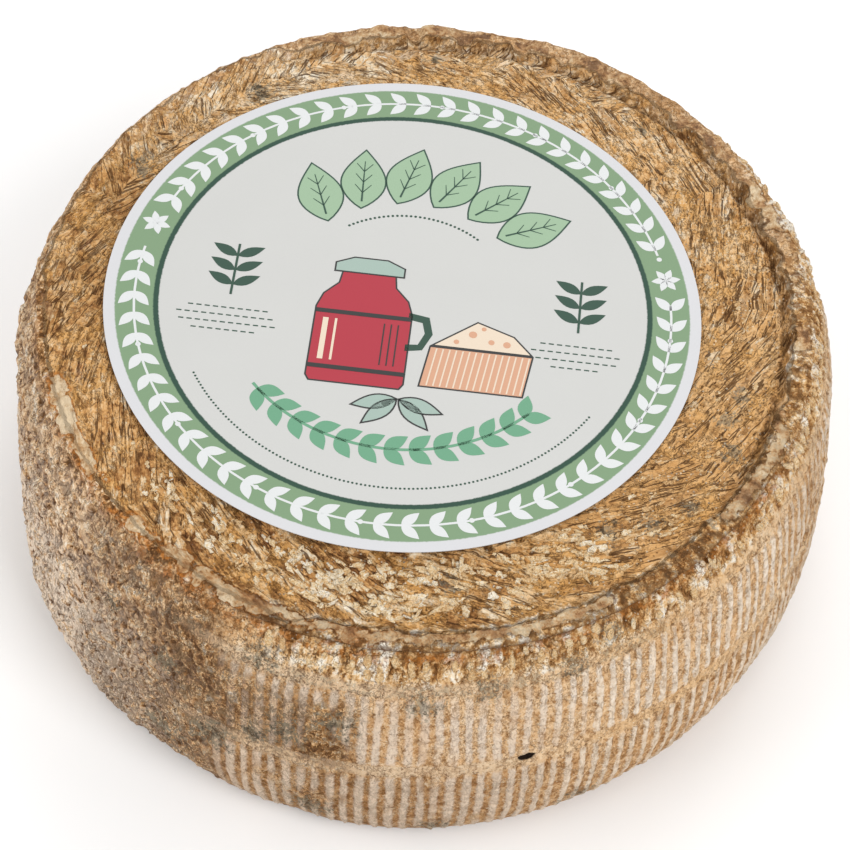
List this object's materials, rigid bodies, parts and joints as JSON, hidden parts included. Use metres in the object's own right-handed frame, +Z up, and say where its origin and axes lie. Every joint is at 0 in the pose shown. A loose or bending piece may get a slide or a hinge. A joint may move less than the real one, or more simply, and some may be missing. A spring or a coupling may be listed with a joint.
{
  "type": "tomme cheese",
  "caption": "Whole round wheel of tomme cheese with a ribbed, cloth-pressed natural rind, a raised rim ribbon and a plain round paper label on top.",
  "frame": {"origin": "middle of the flat base, on the surface that the wheel rests on", "axes": "+Z up through the wheel's top face; -Y towards the front as pictured; +X to the viewer's right"},
  "size_m": [0.25, 0.2517, 0.1058],
  "materials": {
    "rind": "rough natural cheese rind, golden tan with beige ribs, brown creases and cream flakes",
    "label_paper": "smooth off-white label paper with printed fields of pale green"
  },
  "bodies": {
    "root": {"wheel": "rind", "label": "label_paper"}
  },
  "joints": []
}
